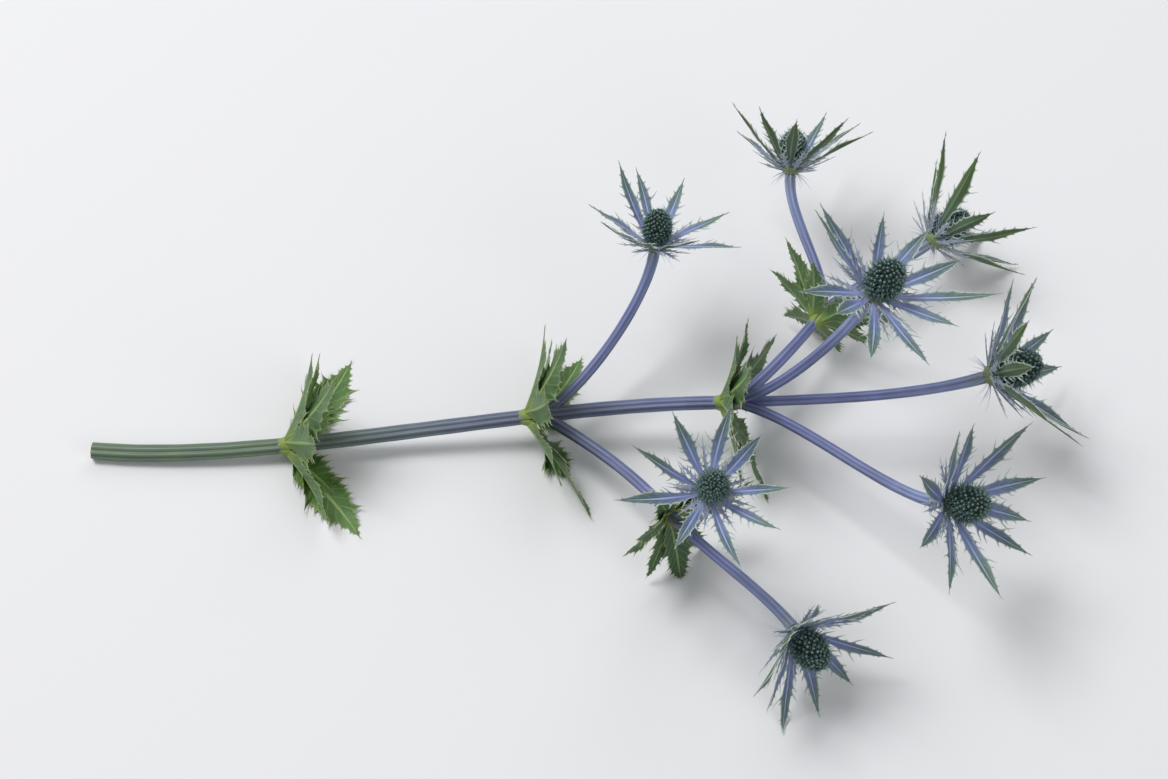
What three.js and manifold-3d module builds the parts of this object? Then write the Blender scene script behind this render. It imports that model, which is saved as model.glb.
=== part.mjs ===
// A cut stem of sea holly (Eryngium), laid down on a flat surface at Z = 0. Millimetres, +Z up.
// The stem runs along X with its cut end towards -X. It forks into stalks that each end in a head:
// a cone of florets in a star of spiny bracts. Three leaves clasp the stem just below each fork.
import * as THREE from 'three';
import { mergeVertices } from 'three/addons/utils/BufferGeometryUtils.js';
import { ConvexGeometry } from 'three/addons/geometries/ConvexGeometry.js';
import Module from 'manifold-3d';

const wasm = await Module();
wasm.setup();

// ---- driving dimensions ----

const gap = 0.3; // between pieces that touch
const surface = 0; // height of the surface that the stem lies on
const leafClearance = 1.1; // lowest mid-surface of a leaf that bends along the surface
const bractClearance = -0.5; // the same for a bract, whose tip is pressed flat where it rests
const softness = 2.2; // how gently a blade bends where it meets the surface
const crease = 0.4; // the same for the edges of a blade that lies there
const sliver = 0.03; // edges shorter than this are merged once the pieces of a solid are joined
const stemRibs = 8; // ridges round the main stem
const stalkRibs = 6; // and round the side stems and stalks
const ribHeight = 0.07; // of a ridge, as a share of the stem's radius
const centreShift = [17.4, -0.7]; // moves the middle of the whole stem to X = 0, Y = 0

// A stretch of stem is a Bezier curve: where it starts, its two pulls, where it ends.
const mainStem = {
  points: [[-318, -12, 4.8], [-204, -24, 6.8], [-50, 16, 17], [74, 2, 38]],
  radii: [5, 3.9],
  steps: 16,
  ribs: stemRibs,
};

// Side stems leave the main stem at its middle and upper forks.
const sideStems = {
  a: { pulls: [[-4, -26, 27], [18, -52, 33]], end: [38, -80, 36] },
  b: { pulls: [[94, 20, 41], [112, 42, 39]], end: [130, 68, 38] },
};
const sideRadii = [3.4, 3.1];
const sideSteps = 5;

// Forks and leaf nodes: the stem that each is on, and its place along that stem's curve.
const forks = {
  lower: { stem: 'main', place: 0.34 },
  middle: { stem: 'main', place: 0.7 },
  upper: { stem: 'main', place: 1 },
  side_a: { stem: 'a', place: 1 },
  side_b: { stem: 'b', place: 1 },
};

// Each head: the middle of its base, the way its cone points, the fork that its stalk grows from,
// how strongly the stalk curves, its size, and how its bracts rise from the base and arch.
const heads = [
  { at: [228, 8, 60], facing: [1, 0.08, 0.42], fork: 'upper', pull: 48, size: 1.05, rise: 0.62, arch: 0.05 },
  { at: [202, 124, 35.5], facing: [0.8, 0.6, 0.16], fork: 'side_b', pull: 24, size: 0.96, rise: 0.58, arch: 0 },
  { at: [112, 158, 64], facing: [0.1, 0.88, 0.52], fork: 'side_b', pull: 26, size: 0.84, rise: 0.62, arch: 0.15 },
  { at: [152, 22, 126], facing: [0.38, 0.1, 0.92], fork: 'upper', pull: 36, size: 1, rise: 0.32, arch: 0.16 },
  { at: [194, -92, 80], facing: [0.62, -0.42, 0.68], fork: 'upper', pull: 44, size: 0.98, rise: 0.5, arch: 0.12 },
  { at: [106, -154, 36.6], facing: [0.5, -0.86, 0.14], fork: 'side_a', pull: 28, size: 0.94, rise: 0.6, arch: -0.05 },
  { at: [54, -98, 104], facing: [0.14, -0.24, 0.96], fork: 'side_a', pull: 26, size: 0.84, rise: 0.4, arch: 0.18 },
  { at: [26, 88, 82], facing: [0.1, 0.42, 0.9], fork: 'middle', pull: 34, size: 0.82, rise: 0.5, arch: 0.15 },
];
const bractsPerSize = 10.5; // how many wide bracts a head of size 1 has

const stalkRadii = [2.9, 3];
const stalkSteps = 5;
const stalkFlare = 0.2; // widening of a stalk just below its head, as a share of its radius

const bract = { length: 57, lengthSpread: 24, halfWidth: 4.3, base: 1.3, thick: 1.3, rings: 6, fold: 0.28 };
// A skew above 1 puts the widest place beyond the middle, and a higher power draws out both ends.
const bractForm = { skew: 1.2, power: 1.3 };
const bractSpread = { bearing: 0.4, rise: 0.36, arch: 0.36, sweep: 0.24 }; // how unlike one another they are
const bractTooth = { base: 2.2, tip: 1, forward: 1.1, every: 1 };
const narrowBract = { length: 22, spread: 10, width: 0.8, start: 5.4, drop: -1.7, below: 0.24, arch: 0.1 };
const spine = { count: 10, length: 13, spread: 6, width: 0.7, start: 4.4, drop: -2.7, down: 0.25, arch: -0.2 };
const receptacle = { radius: 7, top: 0.6, bottom: -5, neck: 3.6 };
const cone = { radius: 9.2, height: 28, florets: 56, spike: 2.3, lean: 1.1, waist: 5.6, bareBelow: -0.3 };

const leafTooth = { base: 5.4, tip: 2.6, forward: 0.8, every: 0 };
const lobe = { base: 2.6, thick: 1.3, rings: 6, fold: 0.2, arch: 0.3, turns: [0.286, -0.264], share: 0.78 };
const lobeForm = { skew: 0.8, power: 1.4 };
const leafToothLength = 60; // length of the lobe whose teeth have these sizes
const sheath = { height: 6, wall: 1.5, split: 0.14, below: 8, slack: 0.5 };
const ringSpread = 0.9; // below 1, the rings of a blade crowd towards its tip

// The leaves at each fork: their bearings round the stem, their size and how far they open from it.
const leafNodes = [
  { fork: 'lower', bearings: [0, 117, 243], length: 76, halfWidth: 10.4, open: 50 },
  { fork: 'middle', bearings: [-8, 112, 232], length: 70, halfWidth: 9.6, open: 54 },
  { fork: 'upper', bearings: [14, 134, 254], length: 64, halfWidth: 8.8, open: 57 },
  { fork: 'side_a', bearings: [50, 170, 290], length: 50, halfWidth: 6.8, open: 57 },
  { fork: 'side_b', bearings: [70, 190, 310], length: 50, halfWidth: 6.8, open: 57 },
];

// ---- finishes ----

function finish(color, roughness) {
  return new THREE.MeshStandardMaterial({ color, roughness, metalness: 0 });
}

const stemFinish = finish(0x5a628c, 0.55);
const bractFinish = finish(0x7f93b4, 0.6);
const coneFinish = finish(0x2f5a58, 0.75);
const leafFinish = finish(0x3f6136, 0.6);

// ---- helpers ----

function vector(list) {
  return new THREE.Vector3(...list);
}

function draw(...keys) {
  const turned = keys.reduce((sum, key, i) => sum + key * [12.9898, 78.233, 37.719][i], 4.137);
  const wide = Math.sin(turned) * 43758.5453;
  return wide - Math.floor(wide);
}

// Turns a closed geometry into a solid, dropping the flat triangles at its poles.
function solidFrom(geometry) {
  const bare = geometry.clone();
  bare.deleteAttribute('normal');
  bare.deleteAttribute('uv');
  const merged = mergeVertices(bare, 1e-4);
  const index = merged.index.array;
  const kept = [];
  for (let i = 0; i < index.length; i += 3) {
    const [a, b, c] = index.slice(i, i + 3);
    if (a !== b && b !== c && c !== a) kept.push(a, b, c);
  }
  const vertProperties = new Float32Array(merged.attributes.position.array);
  return new wasm.Manifold(new wasm.Mesh({ numProp: 3, vertProperties, triVerts: new Uint32Array(kept) }));
}

// Joins the solids and drops any loose scrap.
function join(solids) {
  const whole = solids.reduce((sum, solid) => sum.add(solid));
  return whole.decompose().reduce((best, body) => (body.volume() > best.volume() ? body : best));
}

function meshFrom(name, solid, material) {
  const made = solid.getMesh();
  const geometry = new THREE.BufferGeometry();
  geometry.setAttribute('position', new THREE.BufferAttribute(made.vertProperties, 3));
  geometry.setIndex(new THREE.BufferAttribute(made.triVerts, 1));
  geometry.computeVertexNormals();
  const mesh = new THREE.Mesh(geometry, material);
  mesh.name = name;
  return mesh;
}

// Three directions at right angles: along, up (as near to +Z as it goes) and side.
function frameFor(direction) {
  const along = direction.clone().normalize();
  const up = new THREE.Vector3(0, 0, 1).addScaledVector(along, -along.z).normalize();
  const side = new THREE.Vector3().crossVectors(along, up);
  return { along, up, side };
}

// The outward direction at a bearing round a frame's along axis, and the one a quarter turn on.
function spoke(frame, bearing) {
  const { up, side } = frame;
  const out = up.clone().multiplyScalar(Math.cos(bearing)).addScaledVector(side, Math.sin(bearing));
  const round = side.clone().multiplyScalar(Math.cos(bearing)).addScaledVector(up, -Math.sin(bearing));
  return { out, round };
}

// Raises a point that would sink below the surface, so that a blade bends along it.
function bendUp(point, lowest, give = softness) {
  const depth = (point.z - surface - lowest) / give;
  if (depth < 20) point.z = surface + lowest + give * Math.log1p(Math.exp(depth));
  return point;
}

// Bends a blade's mid-line along the surface, and turns the blade to lie flat where it rests.
function settle({ point, along, side, normal }, lowest) {
  const pressed = 1 / (1 + Math.exp((point.z - surface - lowest) / softness));
  const up = new THREE.Vector3(0, 0, 1);
  const flat = new THREE.Vector3(along.x, along.y, 0).normalize();
  bendUp(point, lowest);
  along.lerp(flat, pressed).normalize();
  side.lerp(new THREE.Vector3().crossVectors(flat, up), pressed).normalize();
  normal.lerp(up, pressed).normalize();
  return { point, along, side, normal };
}

// ---- stem and stalks ----

function bezier(points) {
  return new THREE.CubicBezierCurve3(...points);
}

// A ribbed tube: a cylinder whose rings are carried along the curve.
function ribbedTube({ curve, radii, steps, ribs, flare = 0 }) {
  const shape = new THREE.CylinderGeometry(1, 1, 1, ribs * 2, steps);
  const position = shape.getAttribute('position');
  for (let i = 0; i < position.count; i++) {
    const place = position.getY(i) + 0.5;
    const reach = Math.hypot(position.getX(i), position.getZ(i));
    const bearing = Math.atan2(position.getX(i), position.getZ(i));
    const rib = 1 + ribHeight * Math.cos(ribs * bearing);
    const radius = reach * rib * THREE.MathUtils.lerp(...radii, place) * (1 + flare * place ** 8);
    const frame = frameFor(curve.getTangent(place));
    const point = curve.getPoint(place).addScaledVector(spoke(frame, bearing).out, radius);
    position.setXYZ(i, point.x, point.y, point.z);
  }
  return solidFrom(shape);
}

const mainCurve = bezier(mainStem.points.map(vector));
const stems = { main: { ...mainStem, curve: mainCurve } };

function addSideStem(name, fork) {
  const { pulls, end } = sideStems[name];
  const curve = bezier([mainCurve.getPoint(fork.place), ...pulls.map(vector), vector(end)]);
  stems[name] = { curve, radii: sideRadii, steps: sideSteps, ribs: stalkRibs };
}

addSideStem('a', forks.middle);
addSideStem('b', forks.upper);

// The stalk of a head leaves its fork and arrives straight below the head.
function stalkCurve(head) {
  const { stem, place } = forks[head.fork];
  const start = stems[stem].curve.getPoint(place);
  const facing = vector(head.facing).normalize();
  const end = vector(head.at).addScaledVector(facing, (receptacle.bottom - gap) * head.size);
  const leaving = stems[stem].curve.getTangent(place).add(end.clone().sub(start).normalize()).normalize();
  const firstPull = start.clone().addScaledVector(leaving, head.pull);
  const lastPull = end.clone().addScaledVector(facing, -head.pull);
  return bezier([start, firstPull, lastPull, end]);
}

function makeStem() {
  const stalks = heads.map((head) => ({
    curve: stalkCurve(head),
    radii: stalkRadii,
    steps: stalkSteps,
    ribs: stalkRibs,
    flare: stalkFlare,
  }));
  return aboveSurface(join([...Object.values(stems), ...stalks].map(ribbedTube)));
}

// Cuts off what lies below the surface, which leaves small flat spots to rest on.
function aboveSurface(solid) {
  const slab = new THREE.BoxGeometry(1000, 1000, 40).translate(0, 0, surface - 20);
  return solid.subtract(solidFrom(slab)).simplify(sliver);
}

// ---- blades: bracts and leaf lobes ----

// A thin blade with toothed edges. Its rings have four corners: two edges, a top and an underside.
// Every second ring, odd or even, is drawn out into a pair of teeth that point forwards.
function blade({ rings, middleAt, halfWidthAt, thick, fold, tooth, size, lowest }) {
  const shape = new THREE.ConeGeometry(1, 1, 4, rings);
  const position = shape.getAttribute('position');
  for (let i = 0; i < position.count; i++) {
    const ring = Math.round((position.getY(i) + 0.5) * rings);
    const place = (ring / rings) ** ringSpread;
    const reach = Math.hypot(position.getX(i), position.getZ(i));
    const across = reach > 1e-6 ? Math.round(position.getX(i) / reach) : 0;
    const raised = reach > 1e-6 ? Math.round(position.getZ(i) / reach) : 0;
    const { point, along, side, normal } = settle(middleAt(place), lowest);
    const toothed = ring % 2 === tooth.every && ring > 0 && ring < rings;
    const drawn = toothed ? size * THREE.MathUtils.lerp(tooth.base, tooth.tip, place) : 0;
    const width = halfWidthAt(place) + drawn;
    point.addScaledVector(side, across * width);
    point.addScaledVector(along, Math.abs(across) * drawn * tooth.forward);
    point.addScaledVector(normal, Math.abs(across) * fold * halfWidthAt(place));
    bendUp(point, lowest, crease);
    point.addScaledVector(normal, (raised * thick * (1 - 0.4 * place)) / 2);
    position.setXYZ(i, point.x, point.y, point.z);
  }
  return solidFrom(shape);
}

// The mid-line of a bract or spine: it leaves the base at an angle and bends steadily on its way.
function risingLine(centre, frame, { bearing, start, drop, length, rise, arch, sweep }) {
  const { out, round } = spoke(frame, bearing);
  const bend = Math.abs(arch) < 0.02 ? 0.02 : arch;
  return (place) => {
    const angle = rise + bend * place;
    const outward = start + (length * (Math.sin(angle) - Math.sin(rise))) / bend;
    const upward = drop + (length * (Math.cos(rise) - Math.cos(angle))) / bend;
    const point = centre.clone().addScaledVector(out, outward).addScaledVector(frame.along, upward);
    point.addScaledVector(round, sweep * length * place * place);
    const along = out.clone().multiplyScalar(Math.cos(angle)).addScaledVector(frame.along, Math.sin(angle));
    const side = round.clone().negate();
    const normal = new THREE.Vector3().crossVectors(side, along).normalize();
    return { point, along, side, normal };
  };
}

// A blade's half width: narrow at its base, widest about the middle, nothing at its tip.
function bladeWidth(base, widest, { skew, power }) {
  return (place) => base * (1 - place) + (widest - base * 0.5) * Math.sin(Math.PI * place ** skew) ** power;
}

// ---- heads ----

function makeReceptacle(head, centre, frame) {
  const { radius, top, bottom, neck } = receptacle;
  const outline = [[0, bottom], [neck, bottom], [radius * 0.88, bottom / 2], [radius, top], [0, top]];
  const shape = new THREE.LatheGeometry(outline.map(([x, y]) => new THREE.Vector2(x, y)), 9);
  const upright = new THREE.Matrix4().makeBasis(frame.side, frame.along, frame.up);
  shape.scale(head.size, head.size, head.size).applyMatrix4(upright).translate(centre.x, centre.y, centre.z);
  return solidFrom(shape);
}

function makeBract(head, number, centre, frame) {
  const { size } = head;
  const turned = number + bractSpread.bearing * (draw(head.seed, number, 1) - 0.5);
  const line = risingLine(centre, frame, {
    bearing: (2 * Math.PI * turned) / head.bracts,
    start: (receptacle.radius - 1.3) * size,
    drop: -0.5,
    length: size * (bract.length + bract.lengthSpread * (draw(head.seed, number, 2) - 0.5)),
    rise: head.rise + bractSpread.rise * (draw(head.seed, number, 3) - 0.5),
    arch: head.arch + bractSpread.arch * (draw(head.seed, number, 4) - 0.5),
    sweep: bractSpread.sweep * (draw(head.seed, number, 5) - 0.5),
  });
  const widest = size * bract.halfWidth * (0.85 + 0.3 * draw(head.seed, number, 6));
  return blade({
    rings: bract.rings,
    middleAt: line,
    halfWidthAt: bladeWidth(size * bract.base, widest, bractForm),
    thick: bract.thick,
    fold: bract.fold,
    tooth: bractTooth,
    size,
    lowest: bractClearance,
  });
}

// A thin three-sided spike: a narrow bract between two wide ones, or a spine below them.
function makeSpike(head, centre, frame, { bearing, start, drop, length, width, rise, arch }) {
  const shape = new THREE.ConeGeometry(1, 1, 3);
  const position = shape.getAttribute('position');
  const line = risingLine(centre, frame, {
    bearing,
    start: start * head.size,
    drop,
    length,
    rise,
    arch,
    sweep: 0,
  });
  for (let i = 0; i < position.count; i++) {
    const place = position.getY(i) + 0.5;
    const { point, side, normal } = line(place);
    bendUp(point, bractClearance);
    point.addScaledVector(side, position.getX(i) * width).addScaledVector(normal, position.getZ(i) * width);
    position.setXYZ(i, point.x, point.y, point.z);
  }
  return solidFrom(shape);
}

function makeSpikes(head, centre, frame) {
  const narrow = Array.from({ length: head.bracts }, (_, number) => makeSpike(head, centre, frame, {
    ...narrowBract,
    bearing: (2 * Math.PI * (number + 0.5)) / head.bracts,
    length: head.size * (narrowBract.length + narrowBract.spread * draw(head.seed, number, 7)),
    rise: head.rise - narrowBract.below + 0.12 * draw(head.seed, number, 8),
  }));
  const spines = Array.from({ length: spine.count }, (_, number) => makeSpike(head, centre, frame, {
    ...spine,
    bearing: (2 * Math.PI * (number + 0.25)) / spine.count,
    length: head.size * (spine.length + spine.spread * draw(head.seed, number, 9)),
    rise: -spine.down - 0.45 * draw(head.seed, number, 10),
  }));
  return [...narrow, ...spines];
}

function makeBracts(head) {
  const centre = vector(head.at);
  const frame = frameFor(vector(head.facing));
  const pieces = [makeReceptacle(head, centre, frame)];
  for (let number = 0; number < head.bracts; number++) pieces.push(makeBract(head, number, centre, frame));
  return aboveSurface(join([...pieces, ...makeSpikes(head, centre, frame)]));
}

// The cone's core: points on an egg, each turned from the last by the golden angle.
function coneCore() {
  const goldenAngle = Math.PI * (3 - Math.sqrt(5));
  const points = [];
  for (let i = 0; i < cone.florets; i++) {
    const high = 1 - (1.72 * (i + 0.5)) / cone.florets;
    const reach = cone.radius * Math.sqrt(1 - high * high) * (1 - 0.12 * high);
    const angle = i * goldenAngle;
    const height = (cone.height * (1 + high)) / 2;
    points.push(new THREE.Vector3(reach * Math.cos(angle), reach * Math.sin(angle), height));
  }
  for (let i = 0; i < 8; i++) {
    const angle = (i * Math.PI) / 4;
    points.push(new THREE.Vector3(cone.waist * Math.cos(angle), cone.waist * Math.sin(angle), 0));
  }
  return new ConvexGeometry(points);
}

// Every face of the core, but those underneath, is raised into one floret's three-sided spike.
function makeCone(head) {
  const frame = frameFor(vector(head.facing));
  const foot = vector(head.at).addScaledVector(frame.along, receptacle.top * head.size + gap);
  const place = new THREE.Matrix4().makeBasis(frame.up, frame.side, frame.along);
  place.scale(new THREE.Vector3(head.size, head.size, head.size)).setPosition(foot);
  const core = coneCore().getAttribute('position');
  const corners = [];
  for (let i = 0; i < core.count; i += 3) {
    const face = [0, 1, 2].map((step) => new THREE.Vector3().fromBufferAttribute(core, i + step));
    const middle = face[0].clone().add(face[1]).add(face[2]).divideScalar(3);
    const normal = face[1].clone().sub(face[0]).cross(face[2].clone().sub(face[0])).normalize();
    if (normal.z < cone.bareBelow) {
      corners.push(...face);
      continue;
    }
    const tip = middle.addScaledVector(normal, cone.spike);
    tip.z += cone.lean;
    face.forEach((corner, step) => corners.push(corner, face[(step + 1) % 3], tip));
  }
  const shape = new THREE.BufferGeometry().setFromPoints(corners).applyMatrix4(place);
  return solidFrom(shape);
}

// ---- leaves ----

// The clasping base of a leaf: a piece of ring round the stem.
function makeSheath(centre, frame, radius, middle, span) {
  const shape = new THREE.BoxGeometry(1, 1, 1, 5, 1, 1);
  const position = shape.getAttribute('position');
  for (let i = 0; i < position.count; i++) {
    const bearing = middle + position.getX(i) * span;
    const reach = radius + (position.getZ(i) + 0.5) * sheath.wall;
    const point = centre.clone().addScaledVector(spoke(frame, bearing).out, reach);
    point.addScaledVector(frame.along, position.getY(i) * sheath.height);
    position.setXYZ(i, point.x, point.y, point.z);
  }
  return solidFrom(shape);
}

// A lobe leaves the sheath at an angle from the stem and arches outwards.
function lobeLine(centre, frame, { root, radius, bearing, open, arch, length }) {
  const start = centre.clone().addScaledVector(spoke(frame, root).out, radius + sheath.wall / 2);
  const { out, round } = spoke(frame, bearing);
  return (place) => {
    const angle = open + arch * place;
    const outward = (length * (Math.cos(open) - Math.cos(angle))) / arch;
    const forward = (length * (Math.sin(angle) - Math.sin(open))) / arch;
    const point = start.clone().addScaledVector(out, outward).addScaledVector(frame.along, forward);
    const along = out.clone().multiplyScalar(Math.sin(angle)).addScaledVector(frame.along, Math.cos(angle));
    const side = round.clone().negate();
    const normal = new THREE.Vector3().crossVectors(side, along).normalize();
    return { point, along, side, normal };
  };
}

function makeLobe(node, centre, frame, { radius, bearing, turn, share }) {
  const line = lobeLine(centre, frame, {
    root: bearing + turn * 0.45,
    radius,
    bearing: bearing + turn,
    open: THREE.MathUtils.degToRad(node.open) + Math.abs(turn) * 0.25,
    arch: lobe.arch,
    length: node.length * share,
  });
  return blade({
    rings: lobe.rings,
    middleAt: line,
    halfWidthAt: bladeWidth(lobe.base, node.halfWidth * (0.4 + 0.6 * share), lobeForm),
    thick: lobe.thick,
    fold: lobe.fold,
    tooth: leafTooth,
    size: node.length / leafToothLength,
    lowest: leafClearance,
  });
}

function makeLeaf(node, bearingDegrees) {
  const { stem, place } = forks[node.fork];
  const { curve, radii } = stems[stem];
  const frame = frameFor(curve.getTangent(place));
  const centre = curve.getPoint(place).addScaledVector(frame.along, -sheath.below);
  const radius = THREE.MathUtils.lerp(...radii, place) * (1 + ribHeight) + sheath.slack;
  const bearing = THREE.MathUtils.degToRad(bearingDegrees);
  const span = (2 * Math.PI) / node.bearings.length - sheath.split;
  const sideLobes = lobe.turns.map((part) => {
    const turn = part * (span + sheath.split);
    return makeLobe(node, centre, frame, { radius, bearing, turn, share: lobe.share });
  });
  const pieces = [
    makeSheath(centre, frame, radius, bearing, span),
    makeLobe(node, centre, frame, { radius, bearing, turn: 0, share: 1 }),
    ...sideLobes,
  ];
  return aboveSurface(join(pieces));
}

// ---- the whole stem ----

const seaHolly = new THREE.Group();
seaHolly.position.set(...centreShift, 0);
seaHolly.add(meshFrom('stem', makeStem(), stemFinish));
heads.forEach((head, i) => {
  head.seed = i + 1;
  head.bracts = Math.round(bractsPerSize * head.size);
  seaHolly.add(meshFrom(`head_${i + 1}_bracts`, makeBracts(head), bractFinish));
  seaHolly.add(meshFrom(`head_${i + 1}_cone`, makeCone(head), coneFinish));
});
leafNodes.forEach((node) => {
  node.bearings.forEach((bearing, i) => {
    seaHolly.add(meshFrom(`leaf_${node.fork}_${i + 1}`, makeLeaf(node, bearing), leafFinish));
  });
});

export default seaHolly;
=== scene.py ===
from functools import partial
from math import atan2, cos, exp, floor, log1p, pi, radians, sin, sqrt, tau

import bmesh
import bpy
from mathutils import Matrix, Vector


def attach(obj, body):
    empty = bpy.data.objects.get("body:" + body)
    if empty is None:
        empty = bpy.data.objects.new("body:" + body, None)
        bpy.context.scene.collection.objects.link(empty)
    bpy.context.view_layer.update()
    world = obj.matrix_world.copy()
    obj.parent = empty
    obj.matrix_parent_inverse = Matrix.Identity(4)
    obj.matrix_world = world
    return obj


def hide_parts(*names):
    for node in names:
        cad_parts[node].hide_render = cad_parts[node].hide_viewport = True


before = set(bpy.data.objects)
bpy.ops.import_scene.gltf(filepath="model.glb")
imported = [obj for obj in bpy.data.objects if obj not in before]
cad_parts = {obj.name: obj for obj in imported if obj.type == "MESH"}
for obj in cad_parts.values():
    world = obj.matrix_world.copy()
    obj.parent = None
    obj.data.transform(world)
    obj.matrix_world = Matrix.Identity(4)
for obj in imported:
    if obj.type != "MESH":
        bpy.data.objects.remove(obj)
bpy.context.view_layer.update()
print("frame loaded:", len(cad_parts), "solids")

# A cut stem of sea holly that lies on a table at Z = 0, with its cut end towards -X.
# Shapes are worked out in millimetres, and finishPiece makes each piece metres and centres it.
plant = {
    "metres": 0.001,
    "shift": (17.4, -0.7, 0),  # puts the middle of the whole stem at X = 0, Y = 0
    "softness": 2.2,  # how gently a blade bends where it meets the table
    "crease": 0.4,  # the same for the edges of a blade that lies there
    "lowest": 0.1,  # height that the middle of a blade keeps over the table
    "table": 0.04,  # nothing reaches lower than this
    "sharpAngle": 52,  # degrees between two faces whose edge is drawn crisp
    "bracts": 10.5,  # on a head of size 1
}

stemShape = {
    "main": [(-318, -12, 4.8), (-204, -24, 6.8), (-50, 16, 17), (74, 2, 38)],
    "mainRadii": (5, 3.9),
    "sideA": [(-4, -26, 27), (18, -52, 33), (38, -80, 36)],  # leaves the main stem at its middle fork
    "sideB": [(94, 20, 41), (112, 42, 39), (130, 68, 38)],  # and at its top
    "sideRadii": (3.4, 3.1),
    "stalkRadii": (2.9, 3),
    "stalkFlare": 0.2,  # widening of a stalk just below its head, as a share of its radius
    "mainRibs": 8,
    "stalkRibs": 6,
    "ribHeight": 0.07,  # of a ridge, as a share of the radius
    "fineRib": 0.018,  # of the three finer ridges between two main ones
    "ringSpacing": 3,  # along a stem
    "mainSides": 96,
    "stalkSides": 72,
    "swelling": 0.16,  # of a stem at its nodes, as a share of the radius
    "swellingReach": 5,  # how far along the stem a node's swelling goes
    "drift": 0.012,  # slow unevenness, as a share of the radius
    "streaks": 7,  # round a stem
    "knuckle": 1.16,  # radius of the rounded joint at a fork, as a share of the stem's
    "knuckleLength": 1.3,  # as a share of that
}

# Each fork: the stem that it is on, and its place along that stem's curve.
forks = {
    "lower": ("main", 0.34),
    "middle": ("main", 0.7),
    "upper": ("main", 1),
    "side_a": ("sideA", 1),
    "side_b": ("sideB", 1),
}


# Makes a dictionary of each row.
def keyed(keys, *rows):
    return [dict(zip(keys, row)) for row in rows]


# Each head: the middle of its base, the way its cone points, the fork that its stalk grows from,
# how strongly the stalk curves, its size, and how its bracts rise from the base and arch.
heads = keyed(
    ("at", "facing", "fork", "pull", "size", "rise", "arch"),
    ((228, 8, 60), (1, 0.08, 0.42), "upper", 48, 1.05, 0.62, 0.05),
    ((202, 124, 35.5), (0.8, 0.6, 0.16), "side_b", 24, 0.96, 0.58, 0),
    ((112, 158, 64), (0.1, 0.88, 0.52), "side_b", 26, 0.84, 0.62, 0.15),
    ((152, 22, 126), (0.38, 0.1, 0.92), "upper", 36, 1, 0.32, 0.16),
    ((194, -92, 80), (0.62, -0.42, 0.68), "upper", 44, 0.98, 0.5, 0.12),
    ((106, -154, 36.6), (0.5, -0.86, 0.14), "side_a", 28, 0.94, 0.6, -0.05),
    ((54, -98, 104), (0.14, -0.24, 0.96), "side_a", 26, 0.84, 0.4, 0.18),
    ((26, 88, 82), (0.1, 0.42, 0.9), "middle", 34, 0.82, 0.5, 0.15),
)

# The leaves at each fork: their bearings round the stem, their size and how far they open from it.
leafNodes = keyed(
    ("fork", "bearings", "length", "halfWidth", "open"),
    ("lower", (0, 117, 243), 76, 10.4, 50),
    ("middle", (-8, 112, 232), 70, 9.6, 54),
    ("upper", (14, 134, 254), 64, 8.8, 57),
    ("side_a", (50, 170, 290), 50, 6.8, 57),
    ("side_b", (70, 190, 310), 50, 6.8, 57),
)


# The same draw for the same keys in every run, from 0 to 1.
def chance(*keys):
    turned = 4.137 + sum(key * weight for key, weight in zip(keys, (12.9898, 78.233, 37.719)))
    wide = sin(turned) * 43758.5453
    return wide - floor(wide)


def lerp(low, high, share):
    return low + (high - low) * share


# Three directions at right angles: along, up (as near to +Z as it goes) and side.
def axesFor(direction):
    along = Vector(direction).normalized()
    up = (Vector((0, 0, 1)) - along * along.z).normalized()
    return along, up, along.cross(up)


# The outward direction at a bearing round the along axis, and the one a quarter turn on.
def spoke(axes, bearing):
    up, side = axes[1:]
    cosine, sine = cos(bearing), sin(bearing)
    return up * cosine + side * sine, side * cosine - up * sine


# Raises a point that would sink into the table, so that a blade bends along it.
def bendUp(point, lowest=plant["lowest"], give=plant["softness"]):
    depth = (point.z - lowest) / give
    if depth < 20:
        point.z = lowest + give * log1p(exp(depth))
    return point


# Bends a blade's mid-line along the table, and turns the blade to lie flat where it rests.
def settle(point, forward, side, normal, lowest):
    pressed = 1 / (1 + exp((point.z - lowest) / plant["softness"]))
    upright = Vector((0, 0, 1))
    flat = Vector((forward.x, forward.y, 0)).normalized()
    forward = forward.lerp(flat, pressed).normalized()
    side = side.lerp(flat.cross(upright), pressed).normalized()
    return bendUp(point, lowest), forward, side, normal.lerp(upright, pressed).normalized()


def newBuild(layerNames):
    bm = bmesh.new()
    for name in layerNames.split():
        bm.verts.layers.float.new(name)
    return bm


# Writes values into a vertex's layers.
def mark(bm, vert, **values):
    for name, value in values.items():
        vert[bm.verts.layers.float[name]] = value


# Adds a copy of a small mesh and returns its vertices.
def addCopy(bm, mesh):
    before = len(bm.verts)
    bm.from_mesh(mesh)
    bm.verts.ensure_lookup_table()
    return bm.verts[before:]


def meshFrom(bm, name):
    mesh = bpy.data.meshes.new(name)
    bm.to_mesh(mesh)
    bm.free()
    return mesh


def addObject(name, data):
    made = bpy.data.objects.new(name, data)
    bpy.context.scene.collection.objects.link(made)
    return made


# Makes metres of a build, and a smooth piece with its finish that stands for a node of the frame.
def finishPiece(name, bm, material, node):
    for vert in bm.verts:
        vert.co.z = max(vert.co.z, plant["table"])
    bmesh.ops.recalc_face_normals(bm, faces=bm.faces[:])
    bmesh.ops.translate(bm, verts=bm.verts[:], vec=plant["shift"])
    bmesh.ops.scale(bm, verts=bm.verts[:], vec=(plant["metres"],) * 3)
    mesh = meshFrom(bm, name)
    mesh.shade_smooth()
    mesh.set_sharp_from_angle(angle=radians(plant["sharpAngle"]))
    mesh.materials.append(material)
    piece = addObject(name, mesh)
    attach(piece, "root")
    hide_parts(node)


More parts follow.
